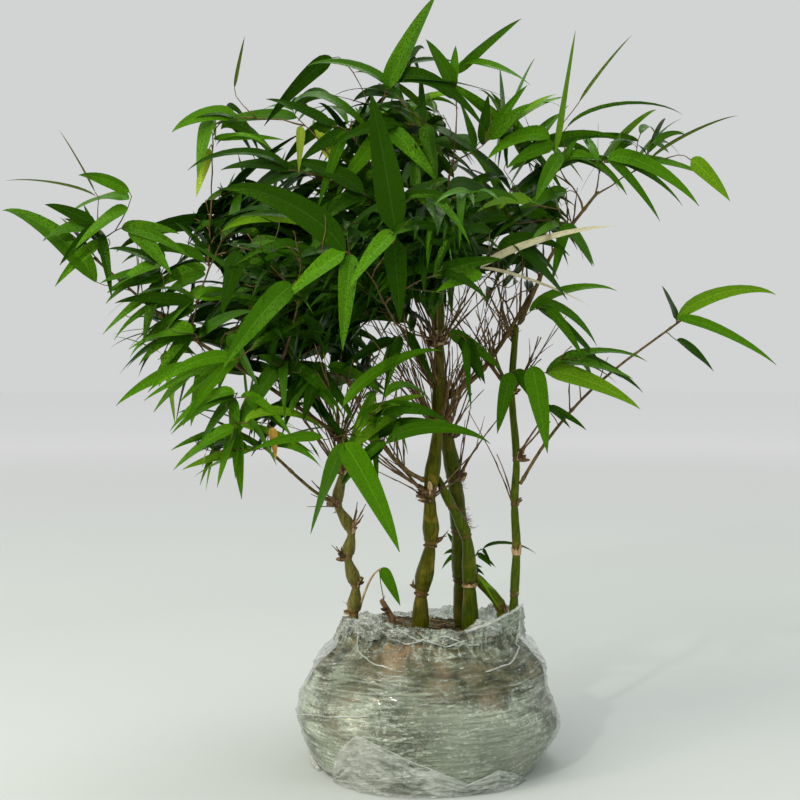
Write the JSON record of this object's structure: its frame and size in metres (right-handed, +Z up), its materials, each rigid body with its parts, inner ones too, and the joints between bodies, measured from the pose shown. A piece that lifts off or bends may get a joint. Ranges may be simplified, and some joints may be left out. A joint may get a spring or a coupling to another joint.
{
  "type": "bamboo clump on a film-wrapped root ball",
  "caption": "Clump of dwarf bamboo with swollen knobbly culms and a wide airy leafy crown, standing on a squat root ball wrapped in clear stretch film.",
  "frame": {"origin": "centre of the root ball's flat underside, on the surface it stands on", "axes": "+Z up, -Y towards the viewer's front, +X to the viewer's right"},
  "size_m": [0.616, 0.304, 0.609],
  "materials": {
    "soil": "dark moist earth, matt",
    "film": "clear stretch film in many wrinkled layers",
    "culm": "olive green culm with pale rings at its nodes",
    "dead_wood": "dead brown stub",
    "twig": "thin straw brown and purple brown branches",
    "foliage": "glossy lance shaped leaves"
  },
  "bodies": {
    "root": {"soil_ball": "soil", "film_wrap": "film", "dead_stub": "dead_wood", "main_culm": "culm", "rear_culm": "culm", "crossing_culm": "culm", "right_culm": "culm", "left_culm": "culm", "oblique_shoot": "culm", "left_low_bough": "twig", "far_left_bough": "twig", "upper_left_bough": "twig", "upper_right_bough": "twig", "right_shoulder_bough": "twig", "right_reach_bough": "twig", "heart_centre": "foliage", "heart_left": "foliage", "left_upper": "foliage", "left_fan": "foliage", "left_low": "foliage", "far_left_spray": "foliage", "left_shoulder": "foliage", "crown_top_left": "foliage", "crown_top": "foliage", "crown_top_right": "foliage", "right_middle": "foliage", "right_shoulder": "foliage", "right_low": "foliage", "far_right_spray": "foliage", "front_low": "foliage", "front_left": "foliage", "front_right": "foliage", "rear_left": "foliage", "rear_right": "foliage", "rear_crown": "foliage", "rear_low": "foliage", "low_side_shoot": "foliage", "stub_leaf": "foliage"}
  },
  "joints": []
}
